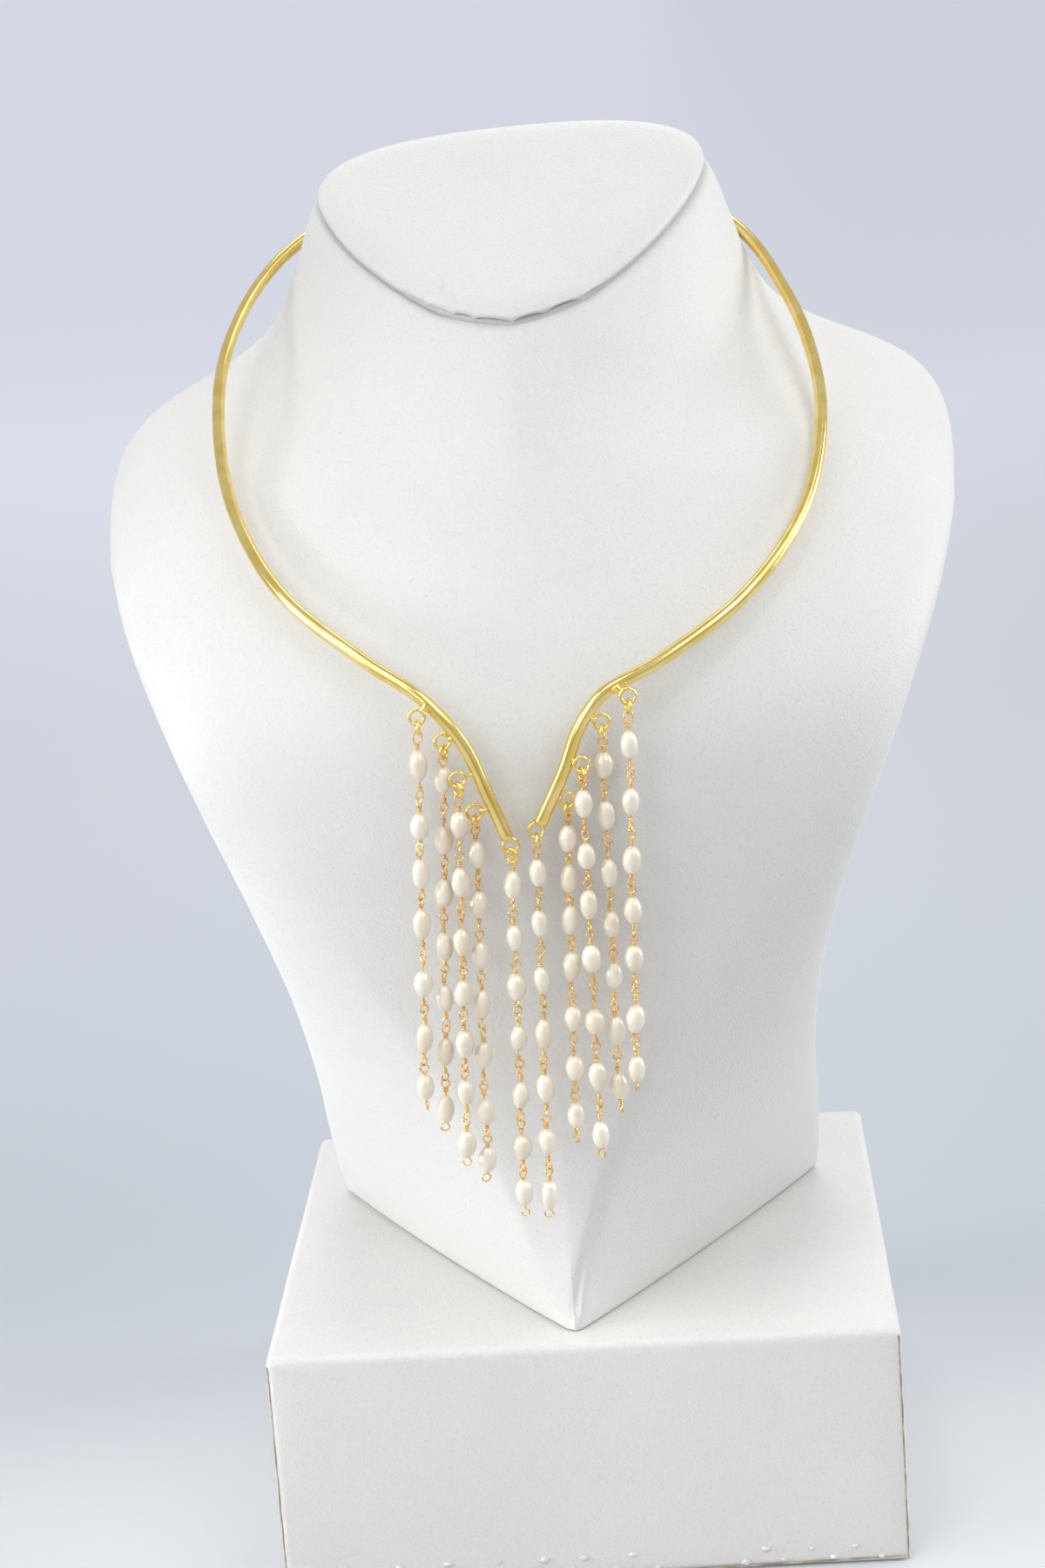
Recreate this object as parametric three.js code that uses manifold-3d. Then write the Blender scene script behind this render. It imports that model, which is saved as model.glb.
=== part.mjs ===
// Hasli necklace on a neck bust that stands on a low riser block.
// Millimetres, +Z up, the wearer's front faces -Y, +X to the right.
// Everything is placed in the stand's frame (x on the bust's middle plane, y back from the
// riser's front face, z up from the riser's top), and one group moves it onto the origin.

import * as THREE from "three";
import { mergeVertices } from "three/addons/utils/BufferGeometryUtils.js";
import Module from "manifold-3d";

const wasm = await Module();
wasm.setup();

// ---------- driving dimensions ----------

const riserSide = 150;
const riserHeight = 60;
const riserSideShift = 1.5;
const riserEdgeRadius = 1.6;
const riserEdgeSegments = 3;

const seatGap = 0.3;

const wireRadius = 1.5;
const wireSides = 8;
const wireSteps = 84;

// Radii of rings and loops are those of their centre line.
const eyeletRadius = 1.7;
const eyeletWire = 0.4;
const stubRadius = 0.55;
const stubOverlap = 0.2;
const jumpRingRadius = 1.45;
const jumpRingWire = 0.36;

const pearlRadius = 2.2;
const pearlHalfLength = 3.3;
const pearlsPerStrand = 7;
const pearlShoulder = { radius: 0.78 * pearlRadius, rise: 0.62 * pearlHalfLength };
const threadRadius = 0.45;
const loopRadius = 0.85;
const loopWire = 0.24;
const linkHalfLength = 0.6;
const endStemLength = 0.7;
const strandSides = 6;
const legY = -7.5;
const eyeletOffset = 1.2;
const linkPlay = 0.28;

const capThickness = 3;

// ---------- finishes ----------

const finish = (color, roughness, metalness) =>
  new THREE.MeshStandardMaterial({ color, roughness, metalness });

const gold = finish(0xe3b73f, 0.18, 1);
const wrapGold = finish(0xd9962e, 0.3, 1);
const pearl = finish(0xf4ead9, 0.3, 0);
const leatherette = finish(0xf0efed, 0.6, 0);

// ---------- helpers for solids ----------

const mergeDistance = 1e-4;

// A geometry with shared vertices as a solid that can be joined or cut.
function toSolid(geometry) {
  const bare = geometry.clone();
  bare.deleteAttribute("normal");
  bare.deleteAttribute("uv");
  const merged = mergeVertices(bare, mergeDistance);
  return new wasm.Manifold(
    new wasm.Mesh({
      numProp: 3,
      vertProperties: new Float32Array(merged.attributes.position.array),
      triVerts: new Uint32Array(merged.index.array),
    }),
  );
}

function toGeometry(solid) {
  const mesh = solid.getMesh();
  const geometry = new THREE.BufferGeometry();
  geometry.setAttribute("position", new THREE.BufferAttribute(mesh.vertProperties, 3));
  geometry.setIndex(new THREE.BufferAttribute(mesh.triVerts, 1));
  geometry.computeVertexNormals();
  return geometry;
}

function joined(geometries) {
  return toGeometry(geometries.map(toSolid).reduce((sum, next) => sum.add(next)));
}

// Closed body through rings of equal point count, with a fan over each end.
function loft(rings) {
  const count = rings[0].length;
  const points = rings.flat();
  const faces = [];
  for (let ring = 0; ring < rings.length - 1; ring += 1) {
    for (let step = 0; step < count; step += 1) {
      const next = (step + 1) % count;
      const low = ring * count;
      const high = low + count;
      faces.push(low + step, low + next, high + next);
      faces.push(low + step, high + next, high + step);
    }
  }
  const addFan = (ring, start, upward) => {
    const centre = new THREE.Vector3();
    ring.forEach((point) => centre.addScaledVector(point, 1 / count));
    const hub = points.push(centre) - 1;
    for (let step = 0; step < count; step += 1) {
      const next = (step + 1) % count;
      faces.push(hub, start + (upward ? step : next), start + (upward ? next : step));
    }
  };
  addFan(rings[0], 0, false);
  addFan(rings.at(-1), (rings.length - 1) * count, true);
  const geometry = new THREE.BufferGeometry().setFromPoints(points);
  geometry.setIndex(faces);
  geometry.computeVertexNormals();
  return geometry;
}

function rod(path, radius, sides, steps) {
  const section = new THREE.Shape();
  for (let side = 0; side <= sides; side += 1) {
    const angle = (2 * Math.PI * side) / sides;
    section[side === 0 ? "moveTo" : "lineTo"](radius * Math.cos(angle), radius * Math.sin(angle));
  }
  return new THREE.ExtrudeGeometry(section, { extrudePath: path, steps, bevelEnabled: false });
}

const straightRod = (from, to, radius) => rod(new THREE.LineCurve3(from, to), radius, 6, 1);

// Rows of numbers as objects whose keys are the names of the columns.
const table = (columns, rows) =>
  rows.map((row) => Object.fromEntries(columns.map((column, index) => [column, row[index]])));

// ---------- bust ----------

// One row for each level of the bust. Each level is two half ovals that meet at the widest
// point: the front one runs from frontY to rimY, the back one from rimY to backY. A power of
// 1 gives straight flanks, 2 an ellipse, 3 and more a boxy outline. Two soft ridges run from
// the shoulders down to the tip at ridgeLeft and ridgeRight, and crown is the share of the
// oval's bulge that the chest keeps between them. slope tips the level, so that its front
// lies lower than its widest point, which is at height, and tip raises its right side,
// because the moulded form's right shoulder is a little the higher.
const levelColumns = [
  "height", "halfWidth", "frontY", "rimY", "backY", "frontPower", "backPower", "slope", "tip",
  "ridgeLeft", "ridgeRight", "crown",
];
const bustLevels = table(levelColumns, [
  [seatGap, 62, 5.6, 107, 112, 1.05, 4, 0, 0, -2.2, 1.6, 0.4],
  [10, 62.8, 4.6, 99, 113, 1.12, 3.6, 0, 0, -6, 2.6, 0.4],
  [28, 62.9, 2.6, 82, 114, 1.24, 3.2, 0, 0, -11.6, 6.8, 0.4],
  [52, 61.8, 0.2, 56, 115, 1.42, 3, 0, 0, -22, 16.2, 0.45],
  [78, 63.5, -1.8, 34, 116, 1.64, 3, 0, 0, -37, 28, 0.55],
  [104, 69.3, -3, 20, 117, 1.84, 3, 0, 0, -52, 49, 0.72],
  [130, 78.8, -3.4, 17, 118, 2, 3, 0, 0, -65, 70, 0.88],
  [150, 87.3, -2, 24, 118.5, 2, 3, 0, 0, -75, 81, 0.95],
  [168, 96, 5.2, 42, 119, 1.89, 2.9, 0, 0.006, -84, 90, 1],
  [184, 102.6, 13.8, 70, 119, 1.745, 2.7, 0, 0.014, -90, 96, 1],
  [196, 104.4, 20.8, 92, 119, 1.732, 2.6, 0, 0.019, -90, 96, 1],
  [204, 102.6, 23.2, 100, 119, 1.681, 2.6, 0.06, 0.02, -90, 96, 1],
  [210, 99.2, 24.2, 103, 119, 1.632, 2.6, 0.12, 0.02, -90, 96, 1],
  [214.5, 93.8, 25.2, 104, 118.5, 1.533, 2.6, 0.16, 0.018, -90, 90, 1],
  [218, 86, 26.4, 104, 118, 1.53, 2.6, 0.185, 0.015, -80, 80, 1],
  [221, 77, 27.8, 103, 117.5, 1.547, 2.6, 0.2, 0.012, -70, 70, 1],
  [225, 68, 29.6, 102, 117, 1.56, 2.5, 0.225, 0.01, -60, 60, 1],
  [231, 61.8, 31.9, 100, 116, 1.58, 2.4, 0.27, 0.007, -50, 50, 1],
  [240, 56.4, 34.9, 97, 114, 1.58, 2.35, 0.36, 0.003, -50, 50, 1],
  [250, 52.6, 38.3, 94.5, 112, 1.54, 2.3, 0.46, 0, -50, 50, 1],
  [258, 49.6, 41.4, 92.5, 110, 1.48, 2.2, 0.55, 0, -45, 45, 1],
  [263, 46.4, 44, 91, 108.6, 1.42, 2.2, 0.62, 0, -40, 40, 1],
]);
const bustQuarterSteps = 9;

// How far in front of the widest point the front oval lies at x, as a number below 0.
function frontDepth(level, x) {
  const share = 1 - Math.abs(x / level.halfWidth) ** level.frontPower;
  return -(share ** (1 / level.frontPower)) * (level.rimY - level.frontY);
}

// The front's depth at x once the chest between the two ridges is flattened.
function chestDepth(level, x, depth) {
  const share = (x - level.ridgeLeft) / (level.ridgeRight - level.ridgeLeft);
  if (level.crown === 1 || share <= 0 || share >= 1) return depth;
  const left = frontDepth(level, level.ridgeLeft);
  const right = frontDepth(level, level.ridgeRight);
  const flat = left + share * (right - left);
  return flat + level.crown * (depth - flat);
}

// Points of one level, anticlockwise seen from above, starting at the middle of the back.
function levelRing(level, widen = 0, lift = 0) {
  const tipAngle = Math.atan(level.slope);
  const ring = [];
  for (let step = 0; step < 4 * bustQuarterSteps; step += 1) {
    const angle = (0.5 * Math.PI * step) / bustQuarterSteps;
    const across = -Math.sin(angle);
    const back = Math.cos(angle);
    const power = back >= 0 ? level.backPower : level.frontPower;
    const reach = back >= 0 ? level.backY - level.rimY : level.rimY - level.frontY;
    const x = Math.sign(across) * Math.abs(across) ** (2 / power) * (level.halfWidth + widen);
    const oval = Math.sign(back) * Math.abs(back) ** (2 / power) * (reach + widen);
    const depth = oval < 0 ? chestDepth(level, x, oval) : oval;
    const y = level.rimY + depth - lift * Math.sin(tipAngle);
    const z = level.height + depth * level.slope + x * level.tip + lift * Math.cos(tipAngle);
    ring.push(new THREE.Vector3(x, y, z));
  }
  return ring;
}

const bustBody = () => loft(bustLevels.map((level) => levelRing(level)));

// The separate padded panel on top of the neck. Each layer is the neck's rim, widened or drawn
// in, at its own height over the rim: the underside, the fullest edge and the rounded top.
const capLayers = [
  { widen: -1.8, lift: seatGap },
  { widen: -0.6, lift: seatGap + 0.3 * capThickness },
  { widen: -1, lift: seatGap + 0.7 * capThickness },
  { widen: -5.6, lift: seatGap + capThickness },
];

const rim = bustLevels.at(-1);
const neckCap = () => loft(capLayers.map(({ widen, lift }) => levelRing(rim, widen, lift)));

function riserBlock() {
  const half = riserSide / 2 - riserEdgeRadius;
  const outline = new THREE.Shape([
    new THREE.Vector2(-half, -half),
    new THREE.Vector2(half, -half),
    new THREE.Vector2(half, half),
    new THREE.Vector2(-half, half),
  ]);
  const geometry = new THREE.ExtrudeGeometry(outline, {
    depth: riserHeight - 2 * riserEdgeRadius,
    bevelThickness: riserEdgeRadius,
    bevelSize: riserEdgeRadius,
    bevelSegments: riserEdgeSegments,
  });
  return geometry.translate(riserSideShift, riserSide / 2, riserEdgeRadius - riserHeight);
}

// ---------- collar ----------

// The collar's wire, from the left end up its leg, round the bend, up the chest and behind
// the neck, then down the right side. The wire is bent by hand, so its sides differ a little.
const collarLeft = [
  { place: "end", x: -6.9, y: -7.5, z: 126.3 },
  { place: "leg", x: -11, y: -7.5, z: 137.4 },
  { place: "bend", x: -15.1, y: -7.3, z: 147.9 },
  { place: "above the bend", x: -23, y: -6, z: 157.9 },
  { place: "breast", x: -37.2, y: 1.5, z: 166.9 },
  { place: "lower sweep", x: -55.5, y: 16.5, z: 179.9 },
  { place: "upper sweep", x: -67.7, y: 39, z: 196.9 },
  { place: "side", x: -72, y: 62, z: 214.4 },
  { place: "shoulder", x: -70.8, y: 78.4, z: 227.8 },
  { place: "beside the neck", x: -63.4, y: 94.2, z: 241.8 },
  { place: "behind the neck", x: -52, y: 108, z: 251.4 },
  { place: "nape", x: -30, y: 119.5, z: 259.5 },
];
const collarRight = [
  { place: "nape", x: 30, y: 117, z: 257.5 },
  { place: "behind the neck", x: 53, y: 103.7, z: 248.5 },
  { place: "beside the neck", x: 64.4, y: 84.9, z: 233.5 },
  { place: "shoulder", x: 69.5, y: 68, z: 219.8 },
  { place: "side", x: 70.2, y: 51.3, z: 206.8 },
  { place: "upper sweep", x: 64.4, y: 29.3, z: 190 },
  { place: "lower sweep", x: 49.3, y: 9.2, z: 174.5 },
  { place: "breast", x: 29.6, y: -2.5, z: 163.3 },
  { place: "above the bend", x: 16.1, y: -6.6, z: 157 },
  { place: "bend", x: 10.8, y: -7.3, z: 150.1 },
  { place: "leg", x: 7, y: -7.5, z: 141 },
  { place: "end", x: 1, y: -7.5, z: 129.2 },
];

const collarPoints = [...collarLeft, ...collarRight].map(({ x, y, z }) => new THREE.Vector3(x, y, z));
const collarPath = new THREE.CatmullRomCurve3(collarPoints, false, "centripetal");

// ---------- strands ----------

// One row for each strand from left to right: the centre of its soldered eyelet, the side of
// the wire it is soldered on (1 the back, -1 the front), where its stub meets the wire, the
// first and last pearl's height, and the last pearl's x.
const strandColumns = ["eyeX", "eyeZ", "side", "wireX", "wireZ", "firstZ", "lastZ", "lastX"];
const strands = table(strandColumns, [
  [-24.8, 155.1, -1, -22.6, 157.4, 144.1, 68.7, -29.4],
  [-19.7, 148.6, 1, -16.3, 150, 139.8, 62.4, -25.4],
  [-16.8, 140.3, -1, -12, 141.3, 130, 54.5, -21],
  [-13.7, 132, 1, -9, 133, 122.1, 49.6, -16.8],
  [-6.1, 124.1, 0, -6.6, 126.8, 115, 41.5, -8.8],
  [-0.2, 127.3, 0, 0.3, 129.6, 117.4, 40.5, -3.1],
  [7, 133.6, 1, 3.6, 134.8, 124.7, 59.2, 4.2],
  [10.9, 142.1, -1, 7.6, 143.4, 133.1, 54.9, 9.7],
  [15.9, 151, 1, 12.4, 152.4, 141, 65.7, 14.5],
  [22.1, 157, -1, 19.6, 158.8, 145.9, 70.3, 18.8],
]);

const hangY = ({ side }) => legY + side * eyeletOffset;

// A ring that faces the front, or one turned edge-on.
const faceOnRing = (radius, wire, around, across) =>
  new THREE.TorusGeometry(radius, wire, across, around).rotateX(Math.PI / 2);
const edgeOnRing = (radius, wire, around, across) =>
  new THREE.TorusGeometry(radius, wire, across, around).rotateY(Math.PI / 2);

// The wire with its ten eyelets soldered on: one piece of metal.
function collar() {
  const wire = rod(collarPath, wireRadius, wireSides, wireSteps);
  const eyelets = strands.map((strand) =>
    faceOnRing(eyeletRadius, eyeletWire, 12, 6).translate(strand.eyeX, hangY(strand), strand.eyeZ),
  );
  const stubs = strands.map((strand) => {
    const eye = new THREE.Vector3(strand.eyeX, hangY(strand), strand.eyeZ);
    const root = new THREE.Vector3(strand.wireX, legY, strand.wireZ);
    const along = root.clone().sub(eye).normalize();
    return straightRod(eye.addScaledVector(along, eyeletRadius - stubOverlap), root, stubRadius);
  });
  return joined([wire, ...eyelets, ...stubs]);
}

const jumpRingDrop = eyeletRadius + jumpRingRadius - eyeletWire - jumpRingWire - linkPlay;
const jumpRingZ = ({ eyeZ }) => eyeZ - jumpRingDrop;

function jumpRing(strand) {
  const ring = edgeOnRing(jumpRingRadius, jumpRingWire, 10, 5);
  return ring.translate(strand.eyeX, hangY(strand), jumpRingZ(strand));
}

// One strand: a loop in the jump ring, seven pearls with wire links between, an end loop.
// It is turned about its thread as one body, then leant so that it ends at lastX.
function pearlStrand(strand) {
  const { firstZ, lastZ, eyeX, lastX } = strand;
  const ringZ = jumpRingZ(strand);
  const topLoopZ = ringZ - jumpRingRadius - loopRadius + jumpRingWire + loopWire + linkPlay;
  const endLoopZ = lastZ - pearlHalfLength - endStemLength - loopRadius;
  const pitch = (firstZ - lastZ) / (pearlsPerStrand - 1);
  const profile = [];
  const addPoint = (radius, z) => profile.push(new THREE.Vector2(radius, z));
  const addLink = (z) => {
    addPoint(loopRadius + loopWire, z - linkHalfLength);
    addPoint(loopRadius + loopWire, z + linkHalfLength);
  };
  const addPearl = (z) => {
    addPoint(threadRadius, z - pearlHalfLength);
    addPoint(pearlShoulder.radius, z - pearlShoulder.rise);
    addPoint(pearlRadius, z);
    addPoint(pearlShoulder.radius, z + pearlShoulder.rise);
    addPoint(threadRadius, z + pearlHalfLength);
  };
  addPoint(0, endLoopZ + loopRadius);
  addPearl(lastZ);
  for (let bead = 1; bead < pearlsPerStrand; bead += 1) {
    addLink(lastZ + (bead - 0.5) * pitch);
    addPearl(lastZ + bead * pitch);
  }
  addPoint(0, topLoopZ - loopRadius);
  const beads = new THREE.LatheGeometry(profile, strandSides).rotateX(Math.PI / 2);
  const topLoop = faceOnRing(loopRadius, loopWire, 8, 5).translate(0, 0, topLoopZ);
  const endLoop = faceOnRing(loopRadius, loopWire, 8, 5).translate(0, 0, endLoopZ);
  const lean = (lastX - eyeX) / (lastZ - ringZ);
  const leaning = new THREE.Matrix4().makeShear(0, 0, 0, 0, lean, 0);
  const hung = joined([beads, topLoop, endLoop]).translate(0, 0, -ringZ).applyMatrix4(leaning);
  return hung.translate(eyeX, hangY(strand), ringZ);
}

// ---------- assembly ----------

const stand = new THREE.Group();

function addPiece(name, geometry, material) {
  const mesh = new THREE.Mesh(geometry, material);
  mesh.name = name;
  stand.add(mesh);
}

addPiece("riser_block", riserBlock(), leatherette);
addPiece("bust_body", bustBody(), leatherette);
addPiece("neck_cap", neckCap(), leatherette);
addPiece("collar", collar(), gold);
strands.forEach((strand, index) => {
  const number = String(index + 1).padStart(2, "0");
  addPiece(`jump_ring_${number}`, jumpRing(strand), wrapGold);
  addPiece(`pearl_strand_${number}`, pearlStrand(strand), pearl);
});

// The origin is at the middle of the riser's underside level, below the middle of the whole.
const frontReach = pearlRadius + eyeletOffset - legY;
stand.position.set(0, (frontReach - riserSide) / 2, riserHeight);

const necklaceOnBust = new THREE.Group();
necklaceOnBust.add(stand);

export default necklaceOnBust;
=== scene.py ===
import math
import random

import bmesh
import bpy
from mathutils import Matrix, Vector, noise


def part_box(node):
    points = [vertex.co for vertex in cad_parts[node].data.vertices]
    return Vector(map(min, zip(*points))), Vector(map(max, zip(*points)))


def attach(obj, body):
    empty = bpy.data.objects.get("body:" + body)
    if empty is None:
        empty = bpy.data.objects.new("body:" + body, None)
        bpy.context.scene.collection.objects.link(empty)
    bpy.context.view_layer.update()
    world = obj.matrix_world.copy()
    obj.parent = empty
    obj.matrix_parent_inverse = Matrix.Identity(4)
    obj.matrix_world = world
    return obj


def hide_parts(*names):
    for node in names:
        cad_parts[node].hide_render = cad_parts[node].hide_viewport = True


# a gold hasli necklace with ten strings of rice pearls, on a white neck bust and its riser

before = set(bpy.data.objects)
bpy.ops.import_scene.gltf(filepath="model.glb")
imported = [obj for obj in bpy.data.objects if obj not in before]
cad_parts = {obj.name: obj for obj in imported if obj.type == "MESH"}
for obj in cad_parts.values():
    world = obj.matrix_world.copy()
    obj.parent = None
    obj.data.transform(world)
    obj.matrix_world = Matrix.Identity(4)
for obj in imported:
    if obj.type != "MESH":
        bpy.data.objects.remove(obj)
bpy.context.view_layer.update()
mm = 0.001

riserLow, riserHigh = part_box("riser_block")
standOrigin = Vector((0, riserLow.y, riserHigh.z))  # middle plane, riser's front face, riser's top
sideways = Vector((1, 0, 0))
up = Vector((0, 0, 1))
scene = bpy.context.scene


def onStand(x, y, z):  # a place measured on the stand in millimetres, in the frame's metres
    return standOrigin + Vector((x, y, z)) * mm


def fade(value, start, end):  # 0 before start, 1 after end, smooth between
    share = min(max((value - start) / (end - start), 0), 1)
    return share * share * (3 - 2 * share)


# camera

camera = {
    "place": (0.0338, -0.8089, 0.3850),
    "turned": (75.66, 3.947, 1.834),
    "lens": 78.04,
    "sensor": 36,
    "farthest": 1000,
}


def addCamera(look):
    lens = bpy.data.cameras.new("camera")
    lens.lens = look["lens"]
    lens.sensor_width = look["sensor"]
    lens.clip_end = look["farthest"]
    holder = bpy.data.objects.new("camera", lens)
    holder.location = look["place"]
    holder.rotation_euler = [math.radians(angle) for angle in look["turned"]]
    scene.collection.objects.link(holder)
    scene.camera = holder


addCamera(camera)
print("camera placed")


# shader maths


class Value:  # a node's output that Python sums and products can use
    def __init__(self, finish, socket):
        self.finish = finish
        self.socket = socket

    def maths(self, operation, first, second):
        return self.finish.node("ShaderNodeMath", {"operation": operation}, {0: first, 1: second})

    def __add__(self, other):
        return self.maths("ADD", self, other)

    def __mul__(self, other):
        return self.maths("MULTIPLY", self, other)

    def __sub__(self, other):
        return self.maths("SUBTRACT", self, other)

    def __rsub__(self, other):
        return self.maths("SUBTRACT", other, self)

    __radd__ = __add__
    __rmul__ = __mul__


class Finish:  # one material and the nodes in it
    def __init__(self, name):
        self.material = bpy.data.materials.new(name)
        self.material.use_nodes = True
        self.tree = self.material.node_tree
        self.tree.nodes.clear()

    def node(self, kind, settings=None, sockets=None, output=0):
        made = self.tree.nodes.new(kind)
        for key, value in (settings or {}).items():
            if key == "stops":  # a ramp's places and their grey tones
                for stop, (place, tone) in zip(made.color_ramp.elements, value):
                    stop.position = place
                    stop.color = (tone, tone, tone, 1)
            else:
                setattr(made, key, value)
        for key, value in (sockets or {}).items():
            if isinstance(value, Value):
                self.tree.links.new(value.socket, made.inputs[key])
            else:
                made.inputs[key].default_value = value
        return Value(self, made.outputs[output]) if len(made.outputs) else None

    def place(self):
        return self.node("ShaderNodeTexCoord", output="Object")

    def noise(self, place, size, detail=2.0):
        sockets = {"Vector": place, "Scale": 1 / size, "Detail": detail}
        return self.node("ShaderNodeTexNoise", None, sockets)

    def ramp(self, value, low, high):  # 0 up to low, 1 from high on
        return self.node("ShaderNodeValToRGB", {"stops": ((low, 0), (high, 1))}, {"Fac": value})

    def rise(self, value, low, high):  # a ramp with smooth ends
        sockets = {"Value": value, "From Min": low, "From Max": high}
        return self.node("ShaderNodeMapRange", {"interpolation_type": "SMOOTHSTEP"}, sockets)

    def mix(self, share, first, second):
        colours = {0: share, 6: first, 7: second}
        return self.node("ShaderNodeMix", {"data_type": "RGBA"}, colours, 2)

    def bump(self, height, depth):
        sockets = {"Strength": 1.0, "Distance": depth, "Height": height}
        return self.node("ShaderNodeBump", None, sockets)

    def close(self, **sockets):  # the surface, whose socket names are given with _ for a space
        named = {key.replace("_", " "): value for key, value in sockets.items()}
        surface = self.node("ShaderNodeBsdfPrincipled", None, named)
        self.node("ShaderNodeOutputMaterial", None, {"Surface": surface})
        return self.material


# finishes, with their sizes in metres as Object coordinates are

leatheretteLook = {
    "pale": (0.69, 0.682, 0.665, 1),
    "shade": (0.665, 0.658, 0.642, 1),
    "valley": (0.56, 0.552, 0.53, 1),
    "pebble": 0.00055,
    "hair": 0.00016,
    "cloud": 0.045,
    "smoothness": 0.5,
    "toneRange": (0.35, 0.65),
    "valleyRange": (0.45, 1.0),
    "valleyShare": 0.5,
    "hairHeight": 0.25,
    "relief": 0.00008,
    "roughness": 0.46,
    "roughnessSpread": 0.12,
    "sheen": 0.15,
    "sheenRoughness": 0.5,
}
goldInCommon = {
    "toneRange": (0.4, 0.62),
    "relief": 0.000006,
    "roughnessSpread": 0.1,
}
collarGoldLook = {
    **goldInCommon,
    "bright": (0.97, 0.77, 0.30, 1),
    "deep": (0.90, 0.66, 0.19, 1),
    "cloud": 0.006,
    "polish": 0.0045,
    "roughness": 0.15,
}
ringGoldLook = {
    **goldInCommon,
    "bright": (1.0, 0.77, 0.26, 1),
    "deep": (0.95, 0.64, 0.15, 1),
    "cloud": 0.002,
    "polish": 0.002,
    "roughness": 0.14,
}
linkGoldLook = {
    **goldInCommon,
    "bright": (0.98, 0.69, 0.26, 1),
    "deep": (0.88, 0.50, 0.13, 1),
    "cloud": 0.003,
    "polish": 0.0012,
    "roughness": 0.18,
}
pearlLook = {
    "cream": (0.73, 0.63, 0.47, 1),
    "white": (0.79, 0.73, 0.62, 1),
    "bead": 0.011,
    "cloud": 0.0022,
    "beadShare": 0.7,
    "toneRange": (0.4, 0.6),
    "relief": 0.000004,
    "roughness": 0.34,
    "roughnessSpread": 0.12,
    "refraction": 1.9,
    "translucence": 0.25,
    "lightReach": (0.0016, 0.0010, 0.0005),
    "sheen": 0.1,
    "sheenRoughness": 0.3,
    "sheenTint": (1.0, 0.86, 0.6, 1),
    "coat": 1.0,
    "coatRoughness": 0.3,
}
seamLook = {
    "edge": (0.30, 0.22, 0.13, 1),
    "worn": (0.55, 0.47, 0.36, 1),
    "cloud": 0.004,
    "wornRange": (0.42, 0.62),
    "roughness": 0.75,
    "roughnessSpread": 0.1,
}


def leatherette(name, look):
    finish = Finish(name)
    place = finish.place()
    pebble = finish.node(
        "ShaderNodeTexVoronoi",
        {"feature": "SMOOTH_F1"},
        {"Vector": place, "Scale": 1 / look["pebble"], "Smoothness": look["smoothness"]},
    )
    hair = finish.noise(place, look["hair"])
    cloud = finish.noise(place, look["cloud"])
    hide = finish.mix(finish.ramp(cloud, *look["toneRange"]), look["shade"], look["pale"])
    valleys = finish.ramp(pebble, *look["valleyRange"]) * look["valleyShare"]
    height = look["hairHeight"] * hair - pebble
    return finish.close(
        Base_Color=finish.mix(valleys, hide, look["valley"]),
        Roughness=look["roughness"] + look["roughnessSpread"] * hair,
        Normal=finish.bump(height, look["relief"]),
        Sheen_Weight=look["sheen"],
        Sheen_Roughness=look["sheenRoughness"],
    )


def polishedMetal(name, look):
    finish = Finish(name)
    place = finish.place()
    cloud = finish.noise(place, look["cloud"])
    polish = finish.noise(place, look["polish"], 3.0)
    tone = finish.ramp(cloud, *look["toneRange"])
    return finish.close(
        Base_Color=finish.mix(tone, look["deep"], look["bright"]),
        Metallic=1.0,
        Roughness=look["roughness"] + look["roughnessSpread"] * (polish - 0.5),
        Normal=finish.bump(polish, look["relief"]),
    )


def nacre(name, look):
    finish = Finish(name)
    place = finish.place()
    bead = finish.noise(place, look["bead"])
    cloud = finish.noise(place, look["cloud"], 3.0)
    blend = look["beadShare"] * bead + (1 - look["beadShare"]) * cloud
    tone = finish.ramp(blend, *look["toneRange"])
    return finish.close(
        Base_Color=finish.mix(tone, look["cream"], look["white"]),
        Roughness=look["roughness"] + look["roughnessSpread"] * (cloud - 0.5),
        Normal=finish.bump(cloud, look["relief"]),
        Subsurface_Weight=look["translucence"],
        Subsurface_Radius=look["lightReach"],
        Subsurface_Scale=1.0,
        Sheen_Weight=look["sheen"],
        Sheen_Roughness=look["sheenRoughness"],
        Sheen_Tint=look["sheenTint"],
        Coat_Weight=look["coat"],
        Coat_Roughness=look["coatRoughness"],
        Coat_IOR=look["refraction"],
        IOR=look["refraction"],
    )


def seamEdge(name, look):
    finish = Finish(name)
    cloud = finish.noise(finish.place(), look["cloud"], 4.0)
    worn = finish.ramp(cloud, *look["wornRange"])
    return finish.close(
        Base_Color=finish.mix(worn, look["edge"], look["worn"]),
        Roughness=look["roughness"] + look["roughnessSpread"] * worn,
    )


bustLeatherette = leatherette("bust_leatherette", leatheretteLook)
riserLeatherette = leatherette("riser_leatherette", leatheretteLook)
seamBrown = seamEdge("cut_seam_edge", seamLook)
collarGold = polishedMetal("collar_gold", collarGoldLook)
ringGold = polishedMetal("ring_gold", ringGoldLook)
linkGold = polishedMetal("link_gold", linkGoldLook)
pearlNacre = nacre("pearl", pearlLook)
print("finishes made")


# making pieces


def addPiece(name, shape, material, slotName, *nodeNames):
    bmesh.ops.recalc_face_normals(shape, faces=shape.faces)
    mesh = bpy.data.meshes.new(name)
    shape.to_mesh(mesh)
    shape.free()
    mesh.shade_smooth()
    mesh.materials.append(material)
    piece = bpy.data.objects.new(name, mesh)
    scene.collection.objects.link(piece)
    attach(piece, "root")
    if nodeNames:
        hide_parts(*nodeNames)
    return piece


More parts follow.
